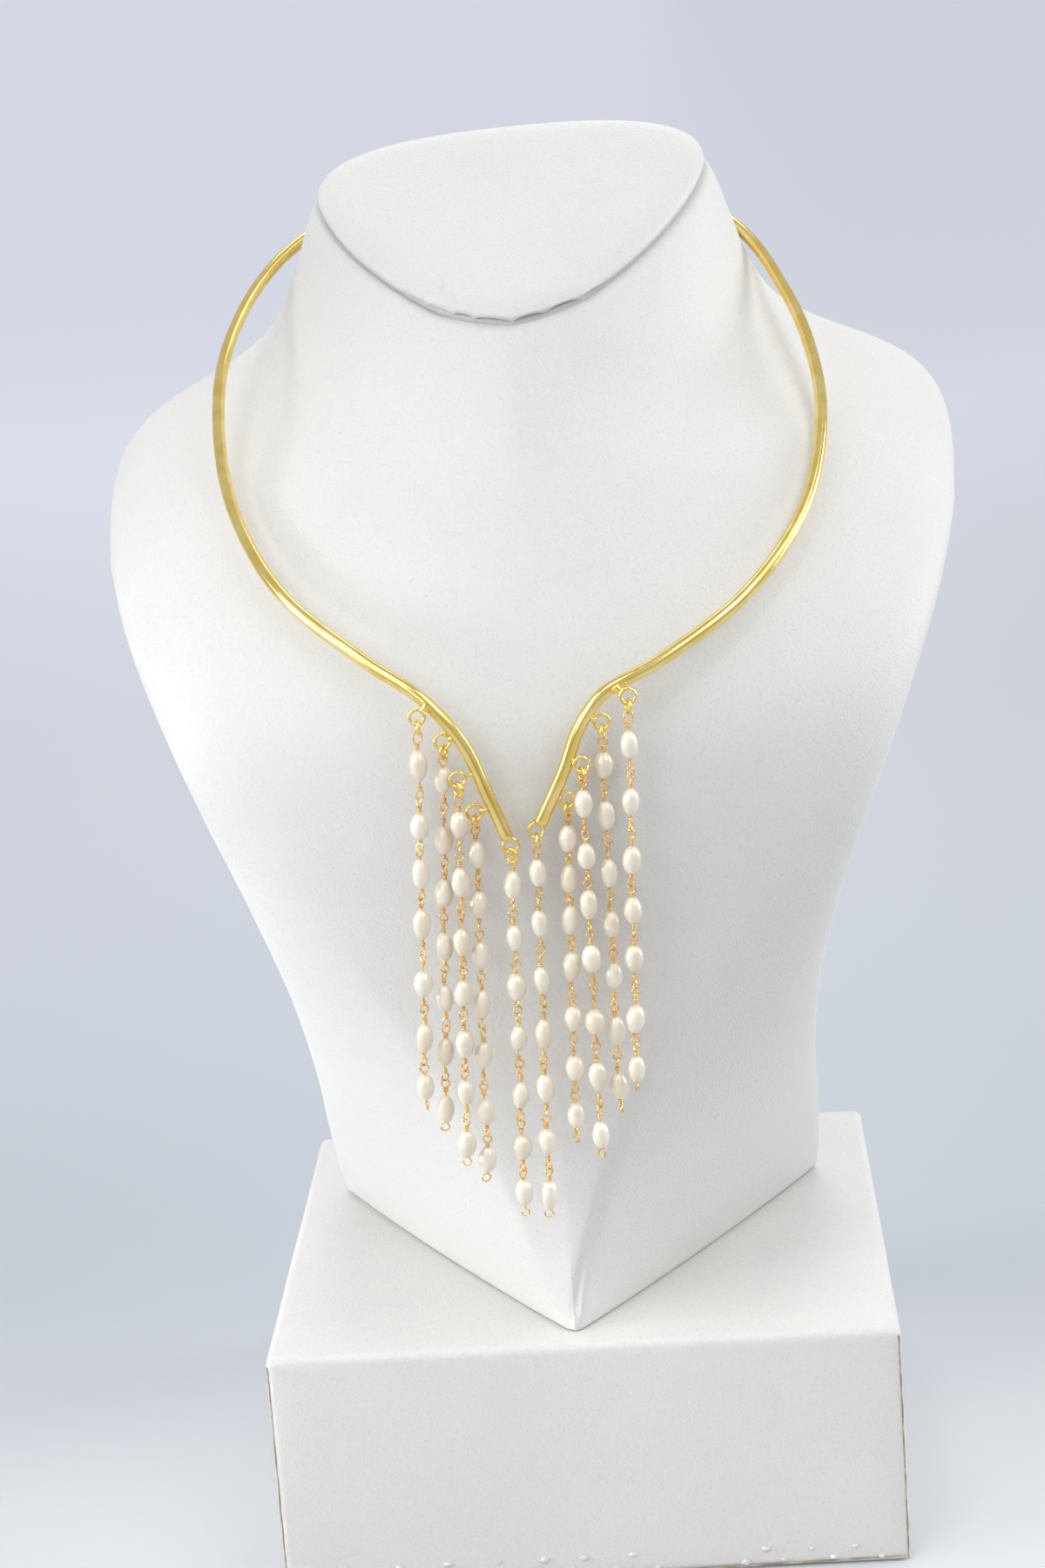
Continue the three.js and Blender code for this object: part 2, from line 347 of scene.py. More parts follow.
def loftRings(shape, rings):  # a skin over rings of points, closed at both ends
    rows = [[shape.verts.new(point) for point in ring] for ring in rings]
    loops = [[shape.edges.new((row[i - 1], row[i])) for i in range(len(row))] for row in rows]
    for low, high in zip(loops, loops[1:]):
        bmesh.ops.bridge_loops(shape, edges=low + high)
    for end in (loops[0], loops[-1]):
        bmesh.ops.contextual_create(shape, geom=end)
    return rows


def addWires(shape, paths, radius, resolution=2, closed=False, taper=None):
    # round wire along each path, with the share of the radius at each point in taper
    curve = bpy.data.curves.new("wire", "CURVE")
    curve.dimensions = "3D"
    curve.bevel_depth = radius
    curve.bevel_resolution = resolution
    curve.use_fill_caps = True
    for path in paths:
        spline = curve.splines.new("POLY")
        spline.points.add(len(path) - 1)
        for index, place in enumerate(path):
            spline.points[index].co = (*place, 1)
            spline.points[index].radius = taper[index] if taper else 1
        spline.use_cyclic_u = closed
    holder = bpy.data.objects.new("wire", curve)
    mesh = bpy.data.meshes.new_from_object(holder)
    shape.from_mesh(mesh)
    bpy.data.objects.remove(holder)
    bpy.data.curves.remove(curve)
    bpy.data.meshes.remove(mesh)


def circlePath(centre, radius, first, second, steps):
    turn = 2 * math.pi / steps
    spokes = [(math.cos(turn * step), math.sin(turn * step)) for step in range(steps)]
    return [centre + radius * (first * along + second * across) for along, across in spokes]


# bust

bust = {
    "columns": (
        "height", "halfWidth", "frontY", "rimY", "backY", "frontPower", "backPower", "slope", "tip",
        "ridgeLeft", "ridgeRight", "crown",
    ),
    "levels": (
        (0.3, 62, 5.6, 107, 112, 1.05, 4, 0, 0, -2.2, 1.6, 0.4),
        (10, 62.8, 4.6, 99, 113, 1.12, 3.6, 0, 0, -6, 2.6, 0.22),
        (28, 62.9, 2.6, 82, 114, 1.24, 3.2, 0, 0, -11.6, 6.8, 0.14),
        (52, 61.8, 0.2, 56, 115, 1.42, 3, 0, 0, -22, 16.2, 0.18),
        (78, 63.5, -1.8, 34, 116, 1.64, 3, 0, 0, -37, 28, 0.34),
        (104, 69.3, -3, 20, 117, 1.84, 3, 0, 0, -52, 49, 0.62),
        (130, 78.8, -3.4, 17, 118, 2, 3, 0, 0, -65, 70, 0.88),
        (150, 87.3, -2, 24, 118.5, 2, 3, 0, 0, -75, 81, 0.95),
        (168, 96, 5.2, 42, 119, 1.89, 2.9, 0, 0.006, -84, 90, 1),
        (184, 102.6, 13.8, 70, 119, 1.745, 2.7, 0, 0.014, -90, 96, 1),
        (196, 104.4, 20.8, 92, 119, 1.732, 2.6, 0, 0.019, -90, 96, 1),
        (204, 102.6, 23.2, 100, 119, 1.681, 2.6, 0.06, 0.02, -90, 96, 1),
        (210, 99.2, 24.2, 103, 119, 1.632, 2.6, 0.12, 0.02, -90, 96, 1),
        (214.5, 93.8, 25.2, 104, 118.5, 1.533, 2.6, 0.16, 0.018, -90, 90, 1),
        (218, 86, 26.4, 104, 118, 1.53, 2.6, 0.185, 0.015, -80, 80, 1),
        (221, 77, 27.8, 103, 117.5, 1.547, 2.6, 0.2, 0.012, -70, 70, 1),
        (225, 68, 29.6, 102, 117, 1.56, 2.5, 0.225, 0.01, -60, 60, 1),
        (231, 61.8, 31.8, 100, 116, 1.58, 2.4, 0.27, 0.007, -44, 44, 0.98),
        (240, 56.4, 34.6, 97, 114, 1.57, 2.4, 0.36, 0.01, -30, 30, 0.93),
        (250, 52.6, 37.7, 94.5, 112, 1.53, 2.45, 0.46, 0.02, -22, 22, 0.85),
        (258, 49.6, 40.4, 92.5, 110, 1.47, 2.5, 0.55, 0.028, -18, 18, 0.75),
        (263, 46.4, 42.6, 91, 108.6, 1.41, 2.55, 0.62, 0.034, -16, 16, 0.65),
    ),
    "ringSpacing": 1.7,
    "frontSteps": 92,
    "backSteps": 28,
    "foot": ((-3, 0), (-0.5, 0), (0, 0.5)),  # widened by, lifted by
    "lip": ((0, -1.7), (-0.1, -1), (-0.4, -0.45), (-1, -0.12), (-2, 0), (-7, 0)),
    "smoothing": ((1, 18, 2), (2, 18, 2), (3, 18, 4), (5, 18, 12), (9, 17, 30)),  # from row, to row, passes
    "creases": (
        {"width": 1.5, "depth": 0.75, "line": (
            (-0.5, 2.1), (1.1, 8.6), (3, 15.8), (6.1, 25.9), (10.6, 39.7), (16.7, 55.4), (22.7, 72.1),
        )},
        {"width": 1.1, "depth": 0.4, "line": ((5.5, 6.4), (6.6, 10.6), (7.4, 14.7))},
    ),
    "creaseFadeIn": 3,
    "creaseFadeFrom": 0.4,
    "creaseBack": 60,
}


def frontDepth(level, x, widen=0.0):
    share = 1 - min(abs(x) / (level["halfWidth"] + widen), 1) ** level["frontPower"]
    return -(share ** (1 / level["frontPower"])) * (level["rimY"] - level["frontY"] + widen)


def chestDepth(level, x, depth):  # the front's depth with the chest between the two ridges flattened
    share = (x - level["ridgeLeft"]) / (level["ridgeRight"] - level["ridgeLeft"])
    if level["crown"] >= 1 or share <= 0 or share >= 1:
        return depth
    left = frontDepth(level, level["ridgeLeft"])
    right = frontDepth(level, level["ridgeRight"])
    flat = left + share * (right - left)
    return flat + level["crown"] * (depth - flat)


def levelAngles(frontSteps, backSteps):  # one turn that starts at the middle of the back
    angles = []
    for quarter, steps in enumerate((backSteps, frontSteps, frontSteps, backSteps)):
        angles += [0.5 * math.pi * (quarter + step / steps) for step in range(steps)]
    return angles


def levelRing(level, angles, widen=0.0, lift=0.0):
    # two half ovals that meet at the widest point, tipped forwards by slope and sideways by tip
    tipAngle = math.atan(level["slope"])
    ring = []
    for angle in angles:
        across = -math.sin(angle)
        back = math.cos(angle)
        half = "back" if back >= 0 else "front"
        power = 2 / level[half + "Power"]
        reach = abs(level[half + "Y"] - level["rimY"])
        x = math.copysign(abs(across) ** power, across) * (level["halfWidth"] + widen)
        depth = math.copysign(abs(back) ** power, back) * (reach + widen)
        if back < 0:
            depth = chestDepth(level, x, depth)
        y = level["rimY"] + depth - lift * math.sin(tipAngle)
        z = level["height"] + depth * level["slope"] + x * level["tip"] + lift * math.cos(tipAngle)
        ring.append(onStand(x, y, z))
    return ring


def levelAt(position):  # the table of levels read between its rows by a Catmull-Rom curve
    levels = bust["levels"]
    row = min(int(position), len(levels) - 2)
    part = position - row
    near = [levels[min(max(row + offset, 0), len(levels) - 1)] for offset in (-1, 0, 1, 2)]
    read = []
    for a, b, c, d in zip(*near):
        bend = part * (2 * a - 5 * b + 4 * c - d + part * (3 * (b - c) + d - a))
        read.append(b + 0.5 * part * (c - a + bend))
    return dict(zip(bust["columns"], read))


def smoothVerts(shape, verts, passes):
    for _ in range(passes):
        bmesh.ops.smooth_vert(
            shape, verts=verts, factor=0.5, use_axis_x=True, use_axis_y=True, use_axis_z=True
        )


def creaseDepth(crease, x, z):  # how deep the fold in the leatherette is at a place on the front
    line = crease["line"]
    if not line[0][1] < z < line[-1][1]:
        return 0
    for (lowX, lowZ), (highX, highZ) in zip(line, line[1:]):
        if lowZ <= z <= highZ:
            middle = lowX + (highX - lowX) * (z - lowZ) / (highZ - lowZ)
    foot, top = line[0][1], line[-1][1]
    rise = fade(z, foot, foot + bust["creaseFadeIn"])
    ends = rise * (1 - fade(z, bust["creaseFadeFrom"] * top, top))
    return crease["depth"] * ends * math.exp(-(((x - middle) / crease["width"]) ** 2))


def makeBust(look):
    shape = bmesh.new()
    angles = levelAngles(look["frontSteps"], look["backSteps"])
    levels = look["levels"]
    rings = [levelRing(levelAt(0), angles, widen, lift) for widen, lift in look["foot"]]
    firstRings = [len(rings)]  # where each row of the table starts
    for row, (low, high) in enumerate(zip(levels, levels[1:])):
        steps = max(3, round((high[0] - low[0]) / look["ringSpacing"]))
        first = 1 if row == 0 else 0  # the foot already holds the table's first row
        rings += [levelRing(levelAt(row + step / steps), angles) for step in range(first, steps)]
        firstRings.append(len(rings))
    rings += [levelRing(levelAt(len(levels) - 1), angles, widen, lift) for widen, lift in look["lip"]]
    rows = loftRings(shape, rings)
    for start, end, passes in look["smoothing"]:
        verts = [vert for row in rows[firstRings[start]:firstRings[end]] for vert in row]
        smoothVerts(shape, verts, passes)
    for vert in shape.verts:
        x, y, z = (vert.co - standOrigin) / mm
        if y < look["creaseBack"]:
            vert.co.y += sum(creaseDepth(crease, x, z) for crease in look["creases"]) * mm
    return addPiece("neck_bust", shape, bustLeatherette, "bust_leatherette", "bust_body")


makeBust(bust)
print("bust made")


# neck cap

cap = {
    "layers": (  # widened by, lifted by, from the hem tucked in below to the middle of the top
        (-9, 0.3), (-2.8, 0.3), (-1.2, 0.2), (-0.4, -0.1), (0.1, -0.35), (0.35, -0.15), (0.45, 0.3),
        (0.4, 0.8), (0.15, 1.3), (-0.4, 1.75), (-1.2, 2.1), (-2.3, 2.4), (-3.7, 2.6), (-6, 2.75),
        (-10, 2.85), (-18, 2.9),
    ),
    "frontSteps": 130,
    "backSteps": 40,
    "pleats": (-27, -19.7, -13.8, -8.9, 0.1, 7.6, 15.5, 24),
    "scoop": 1.1,
    "scoopShape": 0.6,
    "scoopLow": 0.6,
    "scoopTop": 1.9,
    "scoopBack": 12,
    "scoopFade": 22,
}


def scoopAt(x):  # how far the folded edge is drawn up between its pleats
    pleats = cap["pleats"]
    for left, right in zip(pleats, pleats[1:]):
        if left < x < right:
            share = (x - left) / (right - left)
            outer = min(fade(x, pleats[0], pleats[1]), 1 - fade(x, pleats[-2], pleats[-1]))
            return outer * (4 * share * (1 - share)) ** cap["scoopShape"]
    return 0


def makeCap(look):
    shape = bmesh.new()
    rim = levelAt(len(bust["levels"]) - 1)
    angles = levelAngles(look["frontSteps"], look["backSteps"])
    loftRings(shape, [levelRing(rim, angles, widen, lift) for widen, lift in look["layers"]])
    backY = onStand(0, rim["rimY"] - look["scoopBack"], 0).y
    plane = math.atan(rim["slope"])
    normal = Vector((0, -math.sin(plane), math.cos(plane)))
    seat = onStand(0, rim["rimY"], rim["height"])
    for vert in shape.verts:
        lift = (vert.co - seat).dot(normal) / mm
        front = 1 - fade(vert.co.y, backY - look["scoopFade"] * mm, backY)
        low = 1 - fade(lift, look["scoopLow"], look["scoopTop"])
        vert.co += normal * (front * low * look["scoop"] * scoopAt(vert.co.x / mm)) * mm
    return addPiece("neck_cap_pad", shape, bustLeatherette, "bust_leatherette", "neck_cap")


makeCap(cap)
print("cap made")


# riser

riser = {
    "seed": 5,
    "grid": 15,
    "edgeRadius": 2.2,
    "edgeSegments": 5,
    "waver": {"size": 0.035, "depth": 0.22},
    "seam": {
        "seed": 8, "radius": 0.2, "inset": 0.55, "behind": 0.2, "low": 0.6,
        "steps": 60, "waver": 0.16, "wave": 6,
    },
    "hem": {"start": 1.2, "length": 62, "low": 0.3, "rise": 1.5, "inset": 0.12, "waver": 0.04},
    "staples": {
        "upper": 5.0,
        "upperOut": (4.4, 14.5, 27.8, 39.6, 51.8, 62.7, 72.2, 83.8, 115.6, 126.5, 137),
        "lower": 1.9,
        "lowerOut": (21.9, 33.9, 47.2, 58.3, 69.1, 79.6, 89.7, 110.7, 119.8, 131.8, 143),
        "size": (1.0, 0.4, 0.6),
        "lumps": 0.22,
        "grown": (0.7, 1.25),
        "inset": 0.02,
        "waver": 0.3,
    },
}


def makeRiser(look):
    chance = random.Random(look["seed"])
    shape = bmesh.new()
    bmesh.ops.create_cube(shape, size=1)
    bmesh.ops.scale(shape, vec=riserHigh - riserLow, verts=shape.verts)
    bmesh.ops.translate(shape, vec=(riserLow + riserHigh) / 2, verts=shape.verts)
    bmesh.ops.subdivide_edges(shape, edges=shape.edges[:], cuts=look["grid"], use_grid_fill=True)
    corners = [
        edge for edge in shape.edges
        if len(edge.link_faces) == 2 and edge.link_faces[0].normal.dot(edge.link_faces[1].normal) < 0.5
    ]
    bmesh.ops.bevel(
        shape, geom=corners, offset=look["edgeRadius"] * mm, segments=look["edgeSegments"],
        affect="EDGES", profile=0.5, material=-1,
    )
    middle = (riserLow + riserHigh) / 2
    for vert in shape.verts:  # the cover lies a little unevenly, and never outside its board
        sway = noise.noise(vert.co / look["waver"]["size"])
        inward = Vector((middle.x - vert.co.x, middle.y - vert.co.y, 0)).normalized()
        vert.co += inward * (0.5 + 0.5 * sway) * look["waver"]["depth"] * mm
    staples = look["staples"]
    rows = [(out, staples["upper"]) for out in staples["upperOut"]]
    rows += [(out, staples["lower"]) for out in staples["lowerOut"]]
    for out, height in rows:
        mark = bmesh.ops.create_icosphere(shape, subdivisions=2, radius=1)["verts"]
        for vert in mark:
            vert.co *= 1 + chance.uniform(-staples["lumps"], staples["lumps"])
        grown = chance.uniform(*staples["grown"])
        bmesh.ops.scale(shape, verts=mark, vec=Vector(staples["size"]) * mm * grown)
        z = (height + chance.uniform(-1, 1) * staples["waver"]) * mm
        y = riserLow.y + staples["inset"] * mm
        bmesh.ops.translate(shape, verts=mark, vec=(riserLow.x + out * mm, y, z))
    return addPiece("display_riser", shape, riserLeatherette, "riser_leatherette", "riser_block")


def makeRiserSeams(look):
    # the cut edges of the cover: one down each front corner, one along the hem at the bottom
    seam = look["seam"]
    hem = look["hem"]
    chance = random.Random(seam["seed"])
    shape = bmesh.new()
    low = riserLow.z + seam["low"] * mm
    high = riserHigh.z - look["edgeRadius"] * mm
    paths = []
    for edge, side in ((riserLow.x, 1), (riserHigh.x, -1)):
        path = []
        for step in range(seam["steps"] + 1):
            z = high + (low - high) * step / seam["steps"]
            sway = noise.noise(Vector((side * 3, 0, z / (seam["wave"] * mm)))) * seam["waver"]
            x = edge + side * (seam["inset"] + sway) * mm
            y = riserLow.y + (seam["inset"] + seam["behind"]) * mm
            path.append(Vector((x, y, z)))
        paths.append(path)
    path = []
    for step in range(seam["steps"] + 1):
        share = step / seam["steps"]
        x = riserHigh.x - (hem["start"] + hem["length"] * share) * mm
        rise = hem["rise"] * (1 - share) + hem["low"] + chance.uniform(-hem["waver"], hem["waver"])
        path.append(Vector((x, riserLow.y + hem["inset"] * mm, riserLow.z + rise * mm)))
    paths.append(path)
    addWires(shape, paths, seam["radius"] * mm, 1)
    return addPiece("riser_seams", shape, seamBrown, "riser_leatherette")


makeRiser(riser)
makeRiserSeams(riser)
print("riser made")


# collar

collar = {
    "seed": 11,
    "wireRadius": 1.5,
    "left": (
        (-6.9, -7.5, 126.3), (-11, -7.5, 137.4), (-15.1, -7.3, 147.9), (-23, -6, 157.9),
        (-37.2, 1.5, 166.9), (-55.5, 16.5, 179.9), (-67.7, 39, 196.9), (-72, 62, 214.4),
        (-70.8, 78.4, 227.8), (-63.4, 94.2, 241.8), (-52, 108, 251.4), (-30, 119.5, 259.5),
    ),
    "right": (
        (30, 117, 257.5), (53, 103.7, 248.5), (64.4, 84.9, 233.5), (69.5, 68, 219.8),
        (70.2, 51.3, 206.8), (64.4, 29.3, 190), (49.3, 9.2, 174.5), (29.6, -2.5, 163.3),
        (16.1, -6.6, 157), (10.8, -7.3, 150.1), (7, -7.5, 141), (1, -7.5, 129.2),
    ),
    "stepsPerSpan": 16,
    "legY": -7.5,
    "eyeletRadius": 1.7,
    "eyeletWire": 0.4,
    "eyeletOffset": 1.2,
    "eyeletSteps": 28,
    "stubRadius": 0.5,
    "stubStations": (-0.08, 0.1, 0.3, 0.5, 0.7, 0.9, 1),
    "longStub": 2.2,
    "longFlare": (0.75, 0.9, 0.85, 0.95, 1.35, 2.1, 2.3),
    "shortFlare": (1.1, 1.5, 1.7, 1.9, 2.1, 2.3, 2.3),
    "solderRadius": 0.62,
    "solderLumps": 0.12,
    "solderWaves": 5,
    "solderShift": 0.4,
    "solderFlat": 0.75,
    "rounding": ((0.25, 0.97), (0.6, 0.85), (0.85, 0.55), (0.93, 0.2)),  # way to the tip, thickness
    "endLength": 0.9,
}

strandColumns = (
    "eyeX", "eyeZ", "side", "wireX", "wireZ", "lastX",
    "tail", "tailTurn", "tailShare", "tailWraps", "drops",
)
strandRows = (
    (-24.8, 155.1, -1, -22.6, 157.4, -29.4, 4.4, 75, 0.85, 0, (11, 14.1, 11, 11.6, 14.1, 13, 11.6)),
    (-19.7, 148.6, 1, -16.3, 150, -25.4, 4, 0, 0.95, 0, (8.8, 13.9, 12.3, 12.6, 12.2, 12.7, 13.7)),
    (-16.8, 140.3, -1, -12, 141.3, -21, 3.6, 12, 0.8, 0, (10.3, 13.4, 14, 12, 12, 11.7, 12.4)),
    (-13.7, 132, 1, -9, 133, -16.8, 4.5, -8, 0.95, 0, (9.9, 11.6, 12, 11.6, 12.1, 13.7, 11.5)),
    (-6.1, 124.1, 0, -6.6, 126.8, -8.8, 4.7, 24, 0.72, 0, (9.1, 12.5, 11.6, 12.1, 13.7, 12.5, 11.1)),
    (-0.2, 127.3, 0, 0.3, 129.6, -3.1, 3.6, 0, 0.85, 0, (9.9, 11.8, 13.5, 12.6, 13.2, 12.6, 13.2)),
    (7, 133.6, 1, 3.6, 134.8, 4.2, 5.7, 62, 1, 3, (8.9, 9.3, 9.8, 11, 12.3, 11.8, 11.3)),
    (10.9, 142.1, -1, 7.6, 143.4, 9.7, 4.2, 35, 0.85, 1, (9, 12.1, 11.3, 12.7, 15, 13, 14.1)),
    (15.9, 151, 1, 12.4, 152.4, 14.5, 5.6, 70, 1, 3, (10, 11.5, 13.5, 11.8, 12.2, 13.1, 13.2)),
    (22.1, 157, -1, 19.6, 158.8, 18.8, 4.3, 66, 0.6, 2, (11.1, 12.9, 13.5, 11.7, 11.2, 14.4, 11.9)),
)
strands = [dict(zip(strandColumns, row)) for row in strandRows]


def smoothPath(points, steps):  # a centripetal Catmull-Rom curve through the points
    ends = [2 * points[0] - points[1], *points, 2 * points[-1] - points[-2]]
    path = []
    for a, b, c, d in zip(ends, ends[1:], ends[2:], ends[3:]):
        before, span, after = [math.sqrt((q - p).length) for p, q in ((a, b), (b, c), (c, d))]
        start = ((b - a) / before - (c - a) / (before + span) + (c - b) / span) * span
        finish = ((c - b) / span - (d - b) / (span + after) + (d - c) / after) * span
        for step in range(steps):
            t = step / steps
            cubic = 2 * b - 2 * c + start + finish
            square = -3 * b + 3 * c - 2 * start - finish
            path.append(b + t * (start + t * (square + t * cubic)))
    return [*path, points[-1]]


def eyeletPlace(strand):
    y = collar["legY"] + strand["side"] * collar["eyeletOffset"]
    return onStand(strand["eyeX"], y, strand["eyeZ"])


def addSolder(shape, place, look, chance):  # a small lumpy drop of solder
    radius = look["solderRadius"] * mm
    drop = bmesh.ops.create_icosphere(shape, subdivisions=3, radius=radius)["verts"]
    for vert in drop:
        shift = chance.uniform(0, look["solderShift"])
        wave = math.sin(look["solderWaves"] * vert.co.x / radius + shift)
        vert.co *= 1 + look["solderLumps"] * wave
    flat = Matrix.Diagonal((1, look["solderFlat"], 1, 1))
    bmesh.ops.transform(shape, matrix=Matrix.Translation(place) @ flat, verts=drop)


def makeCollar(look):
    chance = random.Random(look["seed"])
    shape = bmesh.new()
    points = [onStand(*place) for place in look["left"] + look["right"]]
    path = smoothPath(points, look["stepsPerSpan"])
    leadIn = (path[0] - path[1]).normalized()
    leadOut = (path[-1] - path[-2]).normalized()
    endLength = look["endLength"] * mm
    nose = [path[0] + leadIn * along * endLength for along, _ in reversed(look["rounding"])]
    tail = [path[-1] + leadOut * along * endLength for along, _ in look["rounding"]]
    narrowing = [share for _, share in look["rounding"]]
    taper = narrowing[::-1] + [1] * len(path) + narrowing
    addWires(shape, [nose + path + tail], look["wireRadius"] * mm, 8, taper=taper)
    eyeletRadius = look["eyeletRadius"] * mm
    rings = [
        circlePath(eyeletPlace(strand), eyeletRadius, sideways, up, look["eyeletSteps"])
        for strand in strands
    ]
    addWires(shape, rings, look["eyeletWire"] * mm, 3, closed=True)
    for strand in strands:
        eye = eyeletPlace(strand)
        root = onStand(strand["wireX"], look["legY"], strand["wireZ"])
        along = (root - eye).normalized()
        touch = eye + along * eyeletRadius
        reach = (root - touch).length
        stations = [touch + along * reach * share for share in look["stubStations"]]
        flare = look["longFlare"] if reach > look["longStub"] * mm else look["shortFlare"]
        addWires(shape, [stations], look["stubRadius"] * mm, 4, taper=flare)
        addSolder(shape, touch, look, chance)
    return addPiece("hasli_collar", shape, collarGold, "collar_gold", "collar")


makeCollar(collar)
print("collar made")


# jump rings

jump = {
    "radius": 1.5,
    "wire": 0.4,
    "steps": 24,
    "turns": (12, -22, 38, -15, 55, 8, -18, 30, -10, 16),
    "play": 0.1,
}


def jumpRingCentre(strand):
    drop = collar["eyeletRadius"] + jump["radius"] - collar["eyeletWire"] - jump["wire"] - jump["play"]
    return eyeletPlace(strand) - up * drop * mm


def makeJumpRing(index, strand):
    shape = bmesh.new()
    turn = math.radians(90 + jump["turns"][index])
    level = Vector((math.cos(turn), math.sin(turn), 0))
    ring = circlePath(jumpRingCentre(strand), jump["radius"] * mm, level, up, jump["steps"])
    addWires(shape, [ring], jump["wire"] * mm, 3, closed=True)
    number = f"{index + 1:02d}"
    return addPiece(f"link_ring_{number}", shape, ringGold, "link_gold", f"jump_ring_{number}")


for index, strand in enumerate(strands):
    makeJumpRing(index, strand)
print("jump rings made")


# pearl strands

pearls = {
    "seed": 40,
    "radius": 2.1,
    "halfLength": 3.3,
    "around": 24,
    "along": 16,
    "sizeSpread": 0.08,
    "tiltSpread": 5,
    "egg": 0.07,
    "pointed": 0.03,
}
links = {
    "wire": 0.2,
    "loopRadius": 0.95,
    "loopSteps": 18,
    "wrapMost": 2.6,
    "wrapLeast": 0.9,
    "wrapSpare": 0.4,
    "wrapSteps": 8,
    "wrapStart": 0.6,  # this and the next two in radii of the wire
    "wrapPitch": 2.1,
    "wrapRadius": 1.9,
    "insidePearl": 0.6,
    "topStem": 1.2,
    "topLoopMost": 1.45,
    "topTurn": 20,
    "loopSpread": (0.92, 1.08),
    "middleSpread": 0.4,
    "turns": (-70, 110),
    "crossing": (55, 125),
}


def eyePath(anchor, away, side, reach, halfHeight, turns, share=1.0):
    # wire out of the pearl, round one loop whose far point lies at reach, then wrapped back
    wire = links["wire"] * mm
    across = away.cross(side).normalized()
    neck = anchor + away * (reach - 2 * halfHeight)
    centre = neck + away * halfHeight
    path = [anchor - away * links["insidePearl"] * mm, anchor + (neck - anchor) * 0.5]
    steps = links["loopSteps"]
    for step in range(round(steps * share) + 1):
        angle = 2 * math.pi * step / steps
        sway = side * math.sin(angle) * links["loopRadius"] * mm
        path.append(centre - away * halfHeight * math.cos(angle) + sway)
    for step in range(int(turns * links["wrapSteps"]) + 1 if turns else 0):
        angle = 2 * math.pi * step / links["wrapSteps"]
        climb = wire * (links["wrapStart"] + links["wrapPitch"] * step / links["wrapSteps"])
        spoke = side * math.cos(angle) + across * math.sin(angle)
        path.append(neck - away * climb + spoke * wire * links["wrapRadius"])
    return path


def wrapTurns(stem):  # as many turns as fit on the stem
    room = stem / mm / (links["wrapPitch"] * links["wire"]) - links["wrapSpare"]
    return max(links["wrapLeast"], min(links["wrapMost"], room))


def addPearl(shape, place, lean, chance):  # gives back the two ends of its hole and its axis
    grown = 1 + chance.uniform(-1, 1) * pearls["sizeSpread"]
    longer = 1 + chance.uniform(-1, 1) * pearls["sizeSpread"]
    tilt = math.atan(lean) + math.radians(chance.uniform(-1, 1) * pearls["tiltSpread"])
    nod = math.radians(chance.uniform(-1, 1) * pearls["tiltSpread"])
    turn = Matrix.Rotation(tilt, 4, "Y") @ Matrix.Rotation(nod, 4, "X")
    egg = chance.uniform(-1, 1) * pearls["egg"]
    radius = pearls["radius"] * grown * mm
    halfLength = pearls["halfLength"] * longer * mm
    bead = bmesh.ops.create_uvsphere(
        shape, u_segments=pearls["around"], v_segments=pearls["along"], radius=1
    )["verts"]
    for vert in bead:
        slim = 1 + egg * vert.co.z - pearls["pointed"] * vert.co.z ** 2
        vert.co.x *= slim
        vert.co.y *= slim
    scale = Matrix.Diagonal((radius, radius, halfLength, 1))
    bmesh.ops.transform(shape, matrix=Matrix.Translation(place) @ turn @ scale, verts=bead)
    axis = (turn @ Vector((0, 0, 1, 0))).xyz
    return place + axis * halfLength, place - axis * halfLength, axis


def threadPearls(shape, strand, chance):
    eye = eyeletPlace(strand)
    height = strand["eyeZ"]
    lastHeight = height - sum(strand["drops"])
    hangTop = (jumpRingCentre(strand).z - standOrigin.z) / mm
    lean = (strand["lastX"] - strand["eyeX"]) / (lastHeight - hangTop)
    threaded = []
    for drop in strand["drops"]:
        height -= drop
        x = eye.x + lean * (height - hangTop) * mm
        place = Vector((x, eye.y, standOrigin.z + height * mm))
        threaded.append(addPearl(shape, place, lean, chance))
    return threaded


def hangingLoop(strand, top, chance):  # the first loop hangs in the jump ring
    wire = links["wire"] * mm
    catch = jumpRingCentre(strand) - up * (jump["radius"] - jump["wire"]) * mm + up * 2 * wire
    away = (catch - top).normalized()
    reach = (catch - top).length - wire
    halfHeight = max((reach - links["topStem"] * mm) / 2, links["loopRadius"] * mm)
    halfHeight = min(halfHeight, links["topLoopMost"] * mm)
    turn = math.radians(chance.uniform(-links["topTurn"], links["topTurn"]))
    side = Matrix.Rotation(turn, 3, away) @ sideways
    return eyePath(top, away, side, reach, halfHeight, wrapTurns(reach - 2 * halfHeight))


def linkLoops(above, below, chance):  # two loops hang in each other between neighbours
    wire = links["wire"] * mm
    down = (below - above).normalized()
    gap = (below - above).length
    radius = links["loopRadius"] * mm * chance.uniform(*links["loopSpread"])
    middle = 0.5 * gap + chance.uniform(-1, 1) * links["middleSpread"] * mm
    level = (sideways - down * down.x).normalized()
    turn = math.radians(chance.uniform(*links["turns"]))
    side = Matrix.Rotation(turn, 3, down) @ level
    cross = turn + math.radians(chance.uniform(*links["crossing"]))
    other = Matrix.Rotation(cross, 3, down) @ level
    upperReach = max(middle + wire, 2 * radius)
    lowerReach = max(gap - middle + wire, 2 * radius)
    hooks = ((above, down, side, upperReach), (below, -down, other, lowerReach))
    return [
        eyePath(anchor, away, face, reach, radius, wrapTurns(reach - 2 * radius))
        for anchor, away, face, reach in hooks
    ]


